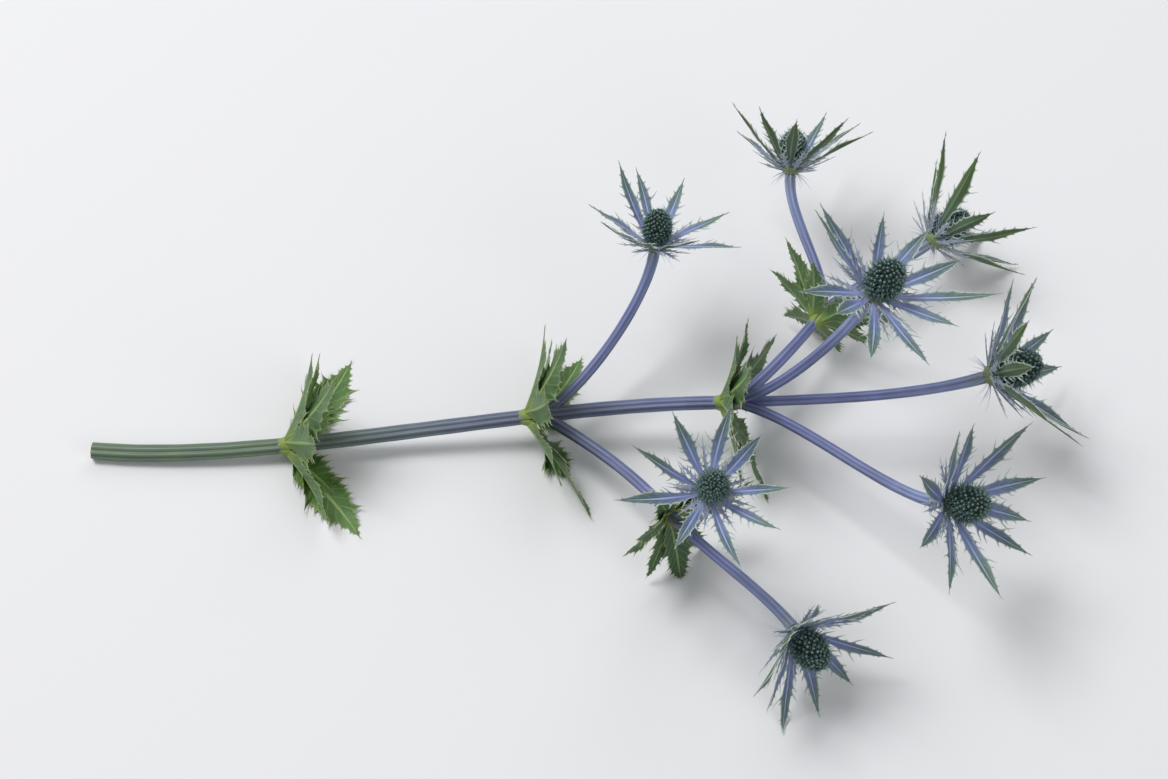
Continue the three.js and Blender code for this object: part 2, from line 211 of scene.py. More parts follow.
# Shader helpers: a value in inputs is either a socket to link or a plain value to set.
def addNode(tree, kind, inputs, **settings):
    made = tree.nodes.new(kind)
    for name, value in settings.items():
        setattr(made, name, value)
    for key, value in inputs.items():
        if isinstance(value, bpy.types.NodeSocket):
            tree.links.new(value, made.inputs[key])
        else:
            made.inputs[key].default_value = value
    return made


def calc(tree, operation, *values):
    return addNode(tree, "ShaderNodeMath", dict(enumerate(values)), operation=operation).outputs[0]


def times(tree, *pair):
    return calc(tree, "MULTIPLY", *pair)


def paint(red, green, blue):
    parts = [part / 255 for part in (red, green, blue)]
    return [part / 12.92 if part < 0.04045 else ((part + 0.055) / 1.055) ** 2.4 for part in parts] + [1]


# Mixes two colours, each a socket or red, green and blue from 0 to 255.
def blend(tree, factor, *colours):
    first, second = (paint(*colour) if isinstance(colour, tuple) else colour for colour in colours)
    made = addNode(tree, "ShaderNodeMix", {0: factor, 6: first, 7: second}, data_type="RGBA")
    return made.outputs[2]


# A smooth step from 0 at low to 1 at high.
def step(tree, value, low, high, least=0, most=1):
    inputs = {"Value": value, "From Min": low, "From Max": high, "To Min": least, "To Max": most}
    return addNode(tree, "ShaderNodeMapRange", inputs, interpolation_type="SMOOTHSTEP").outputs[0]


# A socket for each of the named layers.
def sockets(tree, names):
    kind = "ShaderNodeAttribute"
    return [addNode(tree, kind, {}, attribute_name=name).outputs["Fac"] for name in names.split()]


def newGroup(name, inputs, outputs):
    group = bpy.data.node_groups.new(name, "ShaderNodeTree")
    for way, labels in (("INPUT", inputs), ("OUTPUT", outputs)):
        for label in labels.split():
            group.interface.new_socket(label, in_out=way, socket_type="NodeSocketFloat")
    return group, group.nodes.new("NodeGroupInput").outputs, group.nodes.new("NodeGroupOutput").inputs


# Places a group, with a value for each of its inputs in turn.
def useGroup(tree, group, *values):
    return addNode(tree, "ShaderNodeGroup", dict(enumerate(values)), node_tree=group).outputs


# Where a blade's midrib, side veins and pale margin are, from how far along and across it a point is.
def makeVeinGroup():
    group, given, result = newGroup("veins", "Along Across Count Slant RibWidth Edge", "Rib Veins Margin")
    aside = calc(group, "ABSOLUTE", given["Across"])
    ribInside = times(group, given["RibWidth"], 0.45)
    rib = calc(group, "SUBTRACT", 1, step(group, aside, ribInside, given["RibWidth"]))
    rows = times(group, given["Along"], given["Count"])
    slanted = calc(group, "SUBTRACT", rows, times(group, aside, given["Slant"]))
    away = calc(group, "ABSOLUTE", calc(group, "SUBTRACT", calc(group, "FRACT", slanted), 0.5))
    veins = calc(group, "SUBTRACT", 1, step(group, away, 0.02, 0.16))
    group.links.new(rib, result["Rib"])
    group.links.new(veins, result["Veins"])
    group.links.new(step(group, aside, given["Edge"], 1), result["Margin"])
    return group


# Soft blotches and fine specks over any surface.
def makeMottleGroup():
    group, given, result = newGroup("mottle", "Scale FineScale", "Blotch Speck")
    place = addNode(group, "ShaderNodeTexCoord", {}).outputs["Object"]
    for scale, detail, rough, low, high, name in (
        ("Scale", 3, 0.55, 0.3, 0.7, "Blotch"),
        ("FineScale", 2, 0.6, 0.35, 0.65, "Speck"),
    ):
        inputs = {"Vector": place, "Scale": given[scale], "Detail": detail, "Roughness": rough}
        noise = addNode(group, "ShaderNodeTexNoise", inputs).outputs[0]
        group.links.new(step(group, noise, low, high), result[name])
    return group


def newMaterial(name):
    material = bpy.data.materials.new(name)
    material.use_nodes = True
    tree = material.node_tree
    return material, tree, tree.nodes["Principled BSDF"]


# Lays colours of a finish over a skin: each has its name, a mask, and how strongly it covers.
def coats(tree, skin, finish, *colours):
    for colour, mask, cover in colours:
        skin = blend(tree, times(tree, mask, cover), skin, finish[colour])
    return skin


# Joins a skin to its shader, duller and brighter by its specks and raised by its relief.
def joinSkin(tree, shader, skin, finish, speck, relief):
    tree.links.new(skin, shader.inputs["Base Color"])
    dull = calc(tree, "MULTIPLY_ADD", speck, finish["speckle"], finish["roughness"])
    tree.links.new(dull, shader.inputs["Roughness"])
    bump = {"Height": relief, "Strength": finish["bump"], "Distance": finish["depth"]}
    tree.links.new(addNode(tree, "ShaderNodeBump", bump).outputs[0], shader.inputs["Normal"])


bractFinish = {
    "body": (86, 105, 132), "greenBody": (88, 112, 98), "dark": (56, 74, 84), "violet": (130, 141, 204),
    # The foot colour is painted light: a paler lavender laid on the tops of the bracts near the cone, where
    # the cone's shade falls.
    "foot": (168, 180, 226), "rib": (172, 186, 228), "tipRib": (158, 180, 178),
    "margin": (202, 212, 196), "under": (66, 91, 50), "underPale": (82, 110, 60),
    "underRib": (128, 148, 108), "thread": (186, 192, 218), "spur": (150, 168, 168),
    "cup": (134, 146, 76),
    "roughness": 0.46, "speckle": 0.16, "bump": 0.4, "depth": 0.0002,
}


def makeBractMaterial():
    material, tree, shader = newMaterial("bractSkin")
    along, across, upper, tone, reach, spike, fine = sockets(tree, "along across upper tone reach spike fine")
    spots = useGroup(tree, mottleGroup, 90, 900)
    ribWidth = step(tree, along, 0, 0.9, 0.3, 0.11)  # the midrib narrows towards the tip
    pattern = useGroup(tree, veinGroup, along, across, 8, 1.1, ribWidth, 0.74)
    aside = calc(tree, "ABSOLUTE", across)
    lines = calc(tree, "SINE", times(tree, aside, 21))  # fine veins that run with the midrib
    greener = calc(tree, "MULTIPLY_ADD", along, 0.6, times(tree, tone, 0.5))
    top = blend(tree, step(tree, greener, 0.1, 0.9), bractFinish["body"], bractFinish["greenBody"])
    top = coats(
        tree, top, bractFinish,
        ("dark", spots["Blotch"], 0.3),
        ("tipRib", step(tree, lines, 0.2, 1), 0.22),
        ("tipRib", pattern["Veins"], 0.22),
        ("dark", step(tree, aside, 0.5, 0.2), 0.45),
    )
    ribTint = blend(tree, step(tree, along, 0.3, 0.9), bractFinish["rib"], bractFinish["tipRib"])
    top = blend(tree, times(tree, pattern["Rib"], 0.92), top, ribTint)
    lighter = times(tree, calc(tree, "ADD", tone, spots["Blotch"]), 0.4)
    below = blend(tree, lighter, bractFinish["under"], bractFinish["underPale"])
    below = coats(tree, below, bractFinish, ("underRib", pattern["Rib"], 0.6))
    uneven = calc(tree, "MULTIPLY_ADD", tone, 0.4, 0.5)
    skin = coats(
        tree, blend(tree, step(tree, upper, 0.2, 0.8), below, top), bractFinish,
        ("violet", times(tree, step(tree, reach, 0.9, 0.15), uneven), step(tree, upper, 0, 1, 0.18, 1)),
        # Painted light: the tops of the bracts are made paler near the cone, against the cone's shade.
        ("foot", step(tree, reach, 0.45, 0.16), step(tree, upper, 0, 1, 0, 0.6)),
        ("margin", pattern["Margin"], 0.92),
        ("spur", step(tree, spike, 0, 0.4), 0.8),
        ("thread", fine, 0.72),
        ("cup", step(tree, reach, 0.16, 0.1), 0.7),
    )
    grain = calc(tree, "MULTIPLY_ADD", lines, 0.4, spots["Speck"])
    relief = calc(tree, "MULTIPLY_ADD", pattern["Veins"], 0.6, grain)
    joinSkin(tree, shader, skin, bractFinish, spots["Speck"], relief)
    return material


coneFinish = {
    # The deep colour is painted shade on the core and the feet of the florets, where shade falls between
    # them; it also darkens random specks.
    "deep": (32, 52, 48), "body": (68, 100, 98), "tip": (168, 194, 200), "green": (88, 116, 84),
    "low": (118, 130, 182),
    "roughness": 0.46, "speckle": 0.2, "bump": 0.3, "depth": 0.0002,
}


def makeConeMaterial():
    material, tree, shader = newMaterial("floretSkin")
    tip, tone, high = sockets(tree, "tip tone high")
    spots = useGroup(tree, mottleGroup, 200, 1500)
    body = blend(tree, tone, coneFinish["body"], coneFinish["green"])
    # Painted shade: the core and the feet of the florets are dark, fading to the body colour towards their
    # tips.
    skin = coats(
        tree, blend(tree, step(tree, tip, 0.06, 0.5), coneFinish["deep"], body), coneFinish,
        ("low", step(tree, high, 0.28, 0), 0.5),
        ("tip", step(tree, tip, 0.55, 0.95), calc(tree, "MULTIPLY_ADD", tone, 0.45, 0.4)),
        ("deep", spots["Speck"], 0.2),
    )
    joinSkin(tree, shader, skin, coneFinish, spots["Speck"], spots["Speck"])
    return material


leafFinish = {
    "body": (56, 96, 40), "pale": (90, 130, 52), "blueGreen": (62, 90, 74), "under": (84, 116, 70),
    "rib": (154, 180, 108), "margin": (168, 180, 122), "thorn": (206, 204, 160), "base": (140, 160, 72),
    "node": (166, 98, 40),
    "roughness": 0.4, "speckle": 0.16, "bump": 0.5, "depth": 0.00025,
}


def makeLeafMaterial():
    material, tree, shader = newMaterial("leafSkin")
    along, across, upper, tone, reach = sockets(tree, "along across upper tone reach")
    spike, young = sockets(tree, "spike young")
    spots = useGroup(tree, mottleGroup, 70, 1100)
    pattern = useGroup(tree, veinGroup, along, across, 9, 1.4, 0.13, 0.86)
    mesh = {"Vector": addNode(tree, "ShaderNodeTexCoord", {}).outputs["Object"], "Scale": 620}
    cells = addNode(tree, "ShaderNodeTexVoronoi", mesh, feature="DISTANCE_TO_EDGE")
    net = calc(tree, "SUBTRACT", 1, step(tree, cells.outputs["Distance"], 0, 0.09))
    lighter = times(tree, calc(tree, "ADD", tone, spots["Blotch"]), 0.45)
    top = coats(
        tree, blend(tree, lighter, leafFinish["body"], leafFinish["pale"]), leafFinish,
        ("blueGreen", step(tree, young, 0.2, 0.8), 0.7),
        ("rib", net, 0.14),
        ("rib", pattern["Veins"], 0.25),
    )
    below = coats(tree, leafFinish["under"], leafFinish, ("rib", pattern["Veins"], 0.2))
    skin = coats(
        tree, blend(tree, step(tree, upper, 0.2, 0.8), below, top), leafFinish,
        ("rib", pattern["Rib"], 0.8),
        ("margin", pattern["Margin"], 0.6),
        ("thorn", spike, 0.8),
        ("base", step(tree, reach, 0.26, 0.06), 0.8),
        ("node", step(tree, reach, 0.085, 0.03), 0.7),
    )
    relief = calc(tree, "MULTIPLY_ADD", pattern["Veins"], 1.2, times(tree, net, 0.5))
    joinSkin(tree, shader, skin, leafFinish, spots["Speck"], relief)
    return material


stemFinish = {
    "low": (102, 128, 74), "middle": (100, 108, 132), "high": (116, 124, 178), "top": (140, 154, 202),
    # The ridge colour is a painted highlight along the stem's ribs, and the furrow colour is painted shade in
    # the grooves between them.
    "neck": (142, 158, 96), "shade": (72, 80, 104), "ridge": (184, 194, 212), "furrowShade": (36, 42, 66),
    "node": (140, 150, 98), "spot": (146, 92, 52), "pith": (222, 216, 184), "wood": (168, 170, 118),
    "roughness": 0.4, "speckle": 0.18, "bump": 0.3, "depth": 0.0002,
}


def makeStemMaterial():
    material, tree, shader = newMaterial("stemSkin")
    height, ridge, core, node, streak = sockets(tree, "height ridge core node streak")
    spots = useGroup(tree, mottleGroup, 45, 1300)
    marks = useGroup(tree, mottleGroup, 240, 1300)
    skin = blend(tree, step(tree, height, 0.12, 0.42), stemFinish["low"], stemFinish["middle"])
    skin = blend(tree, step(tree, height, 0.42, 0.7), skin, stemFinish["high"])
    skin = blend(tree, step(tree, height, 0.8, 0.95), skin, stemFinish["top"])
    skin = coats(
        tree, skin, stemFinish,
        ("neck", step(tree, height, 0.95, 1), 0.4),
        ("shade", spots["Blotch"], 0.35),
        # Painted light and shade of the ribs: a painted highlight on the ridges and painted shade in the
        # grooves.
        ("ridge", step(tree, ridge, 0.3, 1), 0.2),
        ("furrowShade", step(tree, ridge, -0.3, -1), 0.3),
        ("shade", streak, 0.18),
        ("node", node, 0.4),
        ("spot", times(tree, node, 0.35), step(tree, marks["Blotch"], 0.35, 1)),
    )
    cutFace = blend(tree, step(tree, core, 0.35, 0.8), stemFinish["wood"], stemFinish["pith"])
    skin = blend(tree, step(tree, core, 0.02, 0.12), skin, cutFace)
    joinSkin(tree, shader, skin, stemFinish, spots["Speck"], calc(tree, "ADD", spots["Speck"], streak))
    return material


veinGroup = makeVeinGroup()
mottleGroup = makeMottleGroup()
bractSkin = makeBractMaterial()
coneSkin = makeConeMaterial()
leafSkin = makeLeafMaterial()
stemSkin = makeStemMaterial()
print("finishes made")


# Stem and stalks
def bezierPoint(points, place):
    rest = 1 - place
    weights = (rest ** 3, 3 * rest * rest * place, 3 * rest * place * place, place ** 3)
    return sum((Vector(point) * weight for point, weight in zip(points, weights)), Vector())


def bezierTangent(points, place):
    rest = 1 - place
    weights = (rest * rest, 2 * rest * place, place * place)
    legs = [Vector(second) - Vector(first) for first, second in zip(points, points[1:])]
    return sum((leg * weight for leg, weight in zip(legs, weights)), Vector()).normalized()


# A point of a curve and the axes there.
def station(points, place):
    return bezierPoint(points, place), axesFor(bezierTangent(points, place))


def bezierLength(points, pieces=24):
    marks = [bezierPoint(points, i / pieces) for i in range(pieces + 1)]
    return sum((second - first).length for first, second in zip(marks, marks[1:]))


# Every stem and stalk, with its curve, its form and how high on the plant it starts and ends, from 0 to 1.
stems = {}


def addStem(name, points, radii, heights, flare=0):
    kind = "main" if name == "main" else "stalk"
    stems[name] = {
        "points": points, "radii": stemShape[radii], "heights": heights, "flare": flare,
        "ribs": stemShape[kind + "Ribs"], "sides": stemShape[kind + "Sides"],
    }


mainPoints = stemShape["main"]
addStem("main", mainPoints, "mainRadii", (0, 0.62))
for name, fork, heights in (("sideA", "middle", (0.44, 0.72)), ("sideB", "upper", (0.62, 0.74))):
    addStem(name, [bezierPoint(mainPoints, forks[fork][1])] + stemShape[name], "sideRadii", heights)

# The cup under a head: its outline as distance out and height, and the gap between it and its stalk.
receptacle = {
    "outline": ((0, -5), (3.6, -5), (4.86, -4.1), (6.02, -2.5), (7, -0.6), (6.72, 0.6), (0, 0.6)),
    "top": 0.6, "bottom": -5, "gap": 0.3,
}


# A head's stalk leaves its fork and arrives straight below the head.
def stalkPoints(head):
    stem, place = forks[head["fork"]]
    start, facing = bezierPoint(stems[stem]["points"], place), head["axes"][0]
    end = head["centre"] + facing * (receptacle["bottom"] - receptacle["gap"]) * head["size"]
    leaving = (bezierTangent(stems[stem]["points"], place) + (end - start).normalized()).normalized()
    return [start, start + leaving * head["pull"], end - facing * head["pull"], end]


for number, head in enumerate(heads, 1):
    head.update(seed=number, bracts=floor(plant["bracts"] * head["size"] + 0.5))
    head.update(centre=Vector(head["at"]), axes=axesFor(head["facing"]))
    stem, place = forks[head["fork"]]
    low = lerp(*stems[stem]["heights"], place)
    addStem(f"stalk{number}", stalkPoints(head), "stalkRadii", (low, 1), stemShape["stalkFlare"])


# How near a place on a stem is to the marks along it, from 0 to 1.
def nearness(place, marks, length):
    reach = stemShape["swellingReach"] / length
    return min(sum(exp(-((place - mark) / reach) ** 2) for mark in marks), 1)


# A cone or cylinder that stands one unit high, cut into rings.
def addRod(bm, sides, low, high, cuts=0):
    made = bmesh.ops.create_cone(bm, cap_ends=True, segments=sides, radius1=low, radius2=high, depth=1,
                                 matrix=Matrix.Translation((0, 0, 0.5)))
    if cuts:
        edges = dict.fromkeys(edge for vert in made["verts"] for edge in vert.link_edges)
        uprights = [edge for edge in edges if abs(edge.verts[0].co.z - edge.verts[1].co.z) > 0.5]
        bmesh.ops.subdivide_edges(bm, edges=uprights, cuts=cuts, use_grid_fill=True)
    return made["verts"]


# A ribbed tube: a cylinder whose rings are carried along the curve.
def addTube(bm, name):
    stem = stems[name]
    points, ribs, sides = stem["points"], stem["ribs"], stem["sides"]
    length = bezierLength(points)
    rings = max(8, round(length / stemShape["ringSpacing"]))
    before = len(bm.verts)
    addRod(bm, sides, 1, 1, rings - 1)
    bm.verts.ensure_lookup_table()
    swells = [place for carrier, place in forks.values() if carrier == name]
    tinted = swells if name == "main" else swells + [0]
    carried = []
    for ring in range(rings + 1):
        place = ring / rings
        near = nearness(place, tinted, length)
        radius = lerp(*stem["radii"], place) * (1 + stemShape["swelling"] * nearness(place, swells, length))
        radius *= 1 + stem["flare"] * place ** 8
        carried.append((place, *station(points, place), radius, near))
    for vert in bm.verts[before:]:
        place, middle, axes, radius, near = carried[round(vert.co.z * rings)]
        bearing = atan2(vert.co.y, vert.co.x)
        rib = cos(ribs * bearing)
        fine = cos(3 * ribs * bearing)
        drift = stemShape["drift"] * sin(place * length * 0.21 + 2 * bearing)
        scale = 1 + stemShape["ribHeight"] * rib + stemShape["fineRib"] * fine + drift
        vert.co = middle + spoke(axes, bearing)[0] * radius * scale
        streak = sin(stemShape["streaks"] * bearing + 1.7 * sin(place * length * 0.13))
        mark(bm, vert, height=lerp(*stem["heights"], place), ridge=rib, node=near, streak=0.5 + 0.5 * streak)


# The rounded joint where stems fork.
def addKnuckle(bm, name, place):
    stem = stems[name]
    middle, (along, up, side) = station(stem["points"], place)
    radius = lerp(*stem["radii"], place) * stemShape["knuckle"]
    turn = Matrix((side, up, along)).transposed().to_4x4()
    turn.translation = middle
    size = Matrix.Diagonal((radius, radius, radius * stemShape["knuckleLength"], 1))
    made = bmesh.ops.create_uvsphere(bm, u_segments=32, v_segments=20, radius=1, matrix=turn @ size)
    for vert in made["verts"]:
        mark(bm, vert, height=lerp(*stem["heights"], place), node=1)


# The cut end: bark, a ring of wood and a pale pith that stands a little back. Each ring is given as its
# size in the one before, how far in it goes and its place from the bark to the middle.
cutRings = ((0.94, -0.1, 0.1), (0.96, 0.02, 0.3), (0.8, 0.05, 0.45), (0.9, 0.25, 0.8), (0.55, 0.1, 1))


def cutEnd(bm):
    start, inward = Vector(mainPoints[0]), bezierTangent(mainPoints, 0)
    face = min(bm.faces, key=lambda one: (one.calc_center_median() - start).length)
    for shrink, depth, share in cutRings:
        face = bmesh.ops.extrude_discrete_faces(bm, faces=[face])["faces"][0]
        rim = face.verts[:]
        centre = Matrix.Translation(-face.calc_center_median())
        bmesh.ops.scale(bm, verts=rim, vec=(shrink,) * 3, space=centre)
        bmesh.ops.translate(bm, verts=rim, vec=inward * depth)
        for vert in rim:
            mark(bm, vert, core=share)


def makeStem():
    bm = newBuild("height ridge node streak core")
    addTube(bm, "main")
    cutEnd(bm)
    for name in stems:
        if name != "main":
            addTube(bm, name)
    for name, place in forks.values():
        if place > 0.5:
            addKnuckle(bm, name, place)
    finishPiece("ribbed_stem", bm, stemSkin, "stem")


makeStem()
print("stem made")


# Blades: bracts, narrow bracts and leaf lobes
def makeBladeBlank(columns, rows):
    bm = newBuild("along across upper")
    bmesh.ops.create_grid(bm, x_segments=columns, y_segments=rows, size=0.5)
    shell = bmesh.ops.extrude_face_region(bm, geom=bm.faces[:])
    for part in shell["geom"]:
        if isinstance(part, bmesh.types.BMVert):
            mark(bm, part, upper=1)
    for vert in bm.verts:
        mark(bm, vert, along=vert.co.x + 0.5, across=vert.co.y * 2)
    return {"mesh": meshFrom(bm, "bladeBlank"), "columns": columns}


def makeSpikeBlank(sides, cuts=0):
    bm = newBuild("spike")
    addRod(bm, sides, 1, 0.12, cuts)
    for vert in bm.verts:
        mark(bm, vert, spike=vert.co.z)
    return meshFrom(bm, "spikeBlank")


blanks = {
    "bract": makeBladeBlank(56, 8),
    "narrow": makeBladeBlank(22, 4),
    "lobe": makeBladeBlank(64, 10),
    "sheath": makeBladeBlank(18, 6),
}
thorn = makeSpikeBlank(3)
spine = makeSpikeBlank(4, 3)


# A line that leaves at an angle from outward and bends steadily towards the first of the axes.
def arcLine(start, axes, bearing, length, rise, bend, sweep=0):
    forward = axes[0]
    outward, roundward = spoke(axes, bearing)

    def at(place):
        angle = rise + bend * place
        out = length * (sin(angle) - sin(rise)) / bend
        height = length * (cos(rise) - cos(angle)) / bend
        point = start + outward * out + forward * height + roundward * (sweep * length * place * place)
        along = outward * cos(angle) + forward * sin(angle)
        return point, along, -roundward, (-roundward).cross(along)

    return at


# The mid-line of a bract or spine, which is never quite straight.
def risingLine(head, bearing, out, drop, length, rise, arch, sweep=0):
    start = head["centre"] + spoke(head["axes"], bearing)[0] * out + head["axes"][0] * drop
    return arcLine(start, head["axes"], bearing, length, rise, arch if abs(arch) >= 0.02 else 0.02, sweep)


# A blade's half width: narrow at its base, widest about the middle, nothing at its tip.
def bladeWidth(blade, place):
    body = sin(pi * place ** blade["skew"]) ** blade["power"] if 0 < place < 1 else 0
    return max(blade["base"] * (1 - place) + (blade["widest"] - blade["base"] * 0.5) * body, 0.1)


# How far each column's edge is drawn out into a tooth, on either side, and where the tips are.
def bladeTeeth(blade, columns, seed):
    drawn = {side: [0] * (columns + 1) for side in (-1, 1)}
    tips = []
    for side in (-1, 1):
        teeth = [(*tooth, blade["toothSpread"]) for tooth in blade["teeth"]]
        teeth += [(*tooth, blade["fineSpread"]) for tooth in blade["fineTeeth"]]
        for number, (place, length, spread) in enumerate(teeth):
            shift = blade["toothJitter"] * (chance(seed, number, side + 21) - 0.5)
            column = min(max(round((place + shift) * columns), 1), columns - 1)
            vary = blade["toothVary"] * (2 * chance(seed, number, side + 31) - 1)
            reach = length * blade["toothSize"] * (1 + vary)
            tips.append((column, side, reach))
            for away, share in enumerate(spread):
                for near in {column - away, column + away}:
                    if 0 < near < columns:
                        drawn[side][near] = max(drawn[side][near], reach * share)
    return drawn, tips


# What all blades share, unless their own values say otherwise.
bladeForm = {
    "columnPower": 0.95,  # columns stand a little closer near the tip
    "rowPower": 1.35,  # and rows near the midrib
    "thinToTip": 0.55, "thinToEdge": 0.6,  # how much thickness is lost on the way
    "ribWidth": 0.16, "ribFade": 0.8, "ribAbove": 0.35,  # the midrib stands out mainly below
    "cup": 0, "cupReach": 0.22,  # how deeply and how far along the foot is cupped
    "skew": 1, "power": 1.3, "fold": 0.2, "twist": 0.5, "lowest": plant["lowest"], "fine": 0,
    "toothVary": 0.25, "fineTeeth": (), "fineSpread": (1, 0.3),
    "thornLean": 0.35, "thornLift": 0.12, "thornSunk": 0.28, "tipSunk": 0.4,
}


# Lays a blank along its line, draws out its teeth, folds and waves it, and sets a thorn on each tooth.
def addBlade(bm, blank, lineAt, blade, seed):
    columns = blank["columns"]
    drawn, tips = bladeTeeth(blade, columns, seed)
    upper = bm.verts.layers.float["upper"]
    rings = []
    for column in range(columns + 1):
        place = (column / columns) ** blade["columnPower"]
        point, forward, side, normal = settle(*lineAt(place), blade["lowest"])
        twist = blade["twist"] * place
        turned = side * cos(twist) + normal * sin(twist)
        facing = normal * cos(twist) - side * sin(twist)
        wave = blade["wave"] * sin(blade["waves"] * tau * place + 6 * chance(seed, 41, 1))
        wave *= sin(pi * place)
        rings.append((place, point, forward, turned, facing, bladeWidth(blade, place), wave))
    shade = chance(seed, 43, 2)
    edgeRow = {}
    for vert in addCopy(bm, blank["mesh"]):
        column = round((vert.co.x + 0.5) * columns)
        sign = 1 if vert.co.y > 0 else -1
        share = abs(vert.co.y * 2) ** blade["rowPower"]
        place, point, forward, side, normal, width, wave = rings[column]
        pull = drawn[sign][column] * share ** 4
        lift = blade["fold"] * width * share + wave * share * share
        lift += blade["cup"] * width * share * share * max(1 - place / blade["cupReach"], 0)
        moved = point + side * (sign * (share * width + pull)) + forward * (pull * blade["toothLean"])
        moved += normal * lift
        bendUp(moved, blade["lowest"], plant["crease"])
        thick = blade["thick"] * (1 - blade["thinToTip"] * place) * (1 - blade["thinToEdge"] * share) * 0.5
        ridge = blade["ridge"] * exp(-((share / blade["ribWidth"]) ** 2)) * (1 - blade["ribFade"] * place)
        isTop = vert[upper] > 0.5
        moved += normal * (thick + blade["ribAbove"] * ridge if isTop else -thick - ridge)
        vert.co = moved
        mark(bm, vert, tone=shade, along=place, across=sign * share, fine=blade["fine"])
        if share > 0.99 and isTop:
            edgeRow[column, sign] = moved.copy()
    radius = blade["thornRadius"]
    for column, sign, reach in tips:
        place, point, forward, side, normal = rings[column][:5]
        direction = side * sign + forward * (blade["toothLean"] + blade["thornLean"])
        direction += normal * blade["thornLift"]
        length = reach * blade["thornShare"]
        start = edgeRow[column, sign] - direction.normalized() * (blade["thornSunk"] * length)
        addThorn(bm, start, direction, length, radius, place, sign, shade)
    point, forward = rings[columns][1:3]
    start = bendUp(point - forward * blade["tipThorn"] * blade["tipSunk"])
    addThorn(bm, start, forward, blade["tipThorn"], radius, 1, 0, shade)


# A straight three-sided thorn.
def addThorn(bm, start, direction, length, radius, along, across, tone):
    forward, up, side = axesFor(direction)
    for vert in addCopy(bm, thorn):
        spot = vert.co
        vert.co = start + forward * (spot.z * length) + (up * spot.x + side * spot.y) * radius
        mark(bm, vert, tone=tone, along=along, across=across, upper=1)


# A curved spine laid along a line.
def addSpine(bm, lineAt, radius, tone):
    for vert in addCopy(bm, spine):
        point, _, side, normal = lineAt(vert.co.z)
        offset = side * (vert.co.x * radius) + normal * (vert.co.y * radius)
        vert.co = bendUp(point) + offset
        mark(bm, vert, tone=tone, upper=1, fine=1)


# A line that leaves in one direction and is bowed towards another.
def bowedLine(start, leaving, bow, length):
    along, up, side = axesFor(leaving)

    def at(place):
        return start + (leaving * place + bow * (place * place)) * length, along, side, up

    return at


bractShape = {
    "length": 57, "lengthSpread": 24, "halfWidth": 4.3, "widthSpread": (0.85, 1.15), "start": 5.7,
    "drop": -0.5,
    "spread": {"bearing": 0.4, "rise": 0.36, "arch": 0.36, "sweep": 0.24},  # of one bract from another
    "base": 1.3, "skew": 1.2, "thick": 0.8, "ridge": 0.4, "fold": 0.28, "wave": 0.8, "waves": 1.6,
    # Each tooth: its place along the edge and its length.
    "teeth": ((0.2, 2.2), (0.31, 1.9), (0.42, 1.4), (0.535, 1.9), (0.66, 0.7), (0.78, 0.55), (0.88, 0.4)),
    "toothSpread": (1, 0.3), "toothLean": 0.85, "toothJitter": 0.09, "toothVary": 0.55,
    "thornShare": 2.8, "thornRadius": 0.52, "tipThorn": 3.4,
}
fringeShape = {
    "threads": ((0.05, 8), (0.09, 7), (0.14, 6)),  # place and length
    "placeSpread": (0.8, 1.2), "lengthSpread": (0.7, 1.3), "inside": 0.8, "radius": 0.4,
    "lean": (0.1, 1.3), "bow": 0.14, "lift": 1.1,
    "barbAt": 0.42, "barb": 2.6, "barbOver": 6.5, "barbLean": 0.9, "barbRadius": 0.2,
}
narrowShape = {
    "rows": ((0.5, 1, 0), (0.25, 0.7, 0.3)),  # place between bracts, length, how much lower
    "length": 22, "lengthSpread": 10, "halfWidth": 1.15, "start": 5.4, "drop": -1.7,
    "below": 0.24, "arch": 0.1, "riseSpread": 0.12, "base": 0.7, "thick": 0.7, "ridge": 0.2, "fine": 0.85,
    "wave": 0.3, "waves": 1, "twist": 0.8,
    "teeth": ((0.2, 1.2), (0.38, 1.5), (0.56, 1.2), (0.74, 1)),
    "toothSpread": (1,), "toothLean": 1, "toothJitter": 0.1,
    "thornShare": 3, "thornRadius": 0.3, "tipThorn": 4,
}
spineShape = {
    "count": 18, "length": 9, "lengthSpread": 10, "start": 4.4, "drop": -2.9, "radius": 0.26,
    "down": 0.2, "downSpread": 0.55, "arch": -0.35,
}


# Long pale threads that stand out from both edges near the foot of a bract, the longer ones barbed.
def addFringe(bm, lineAt, blade, size, seed):
    shape = fringeShape
    for side in (-1, 1):
        for number, (place, length) in enumerate(shape["threads"]):
            draw = [chance(seed, number, side + key) for key in (51, 61, 71)]
            point, forward, sideways, normal = lineAt(place * lerp(*shape["placeSpread"], draw[0]))
            start = point + sideways * (side * shape["inside"] * bladeWidth(blade, place))
            leaving = sideways * side + forward * lerp(*shape["lean"], draw[2])
            leaving = (leaving + normal * (shape["lift"] * (draw[1] - 0.5))).normalized()
            bow = forward * (shape["bow"] * (draw[0] - 0.3))
            grown = length * size * lerp(*shape["lengthSpread"], draw[1])
            line = bowedLine(start, leaving, bow, grown)
            addSpine(bm, line, shape["radius"], draw[0])
            if grown > shape["barbOver"]:
                foot = bendUp(line(shape["barbAt"])[0])
                way = leaving + (forward - sideways * side * 0.3) * shape["barbLean"]
                addThorn(bm, foot, way, shape["barb"] * size, shape["barbRadius"], place, 1, draw[0])


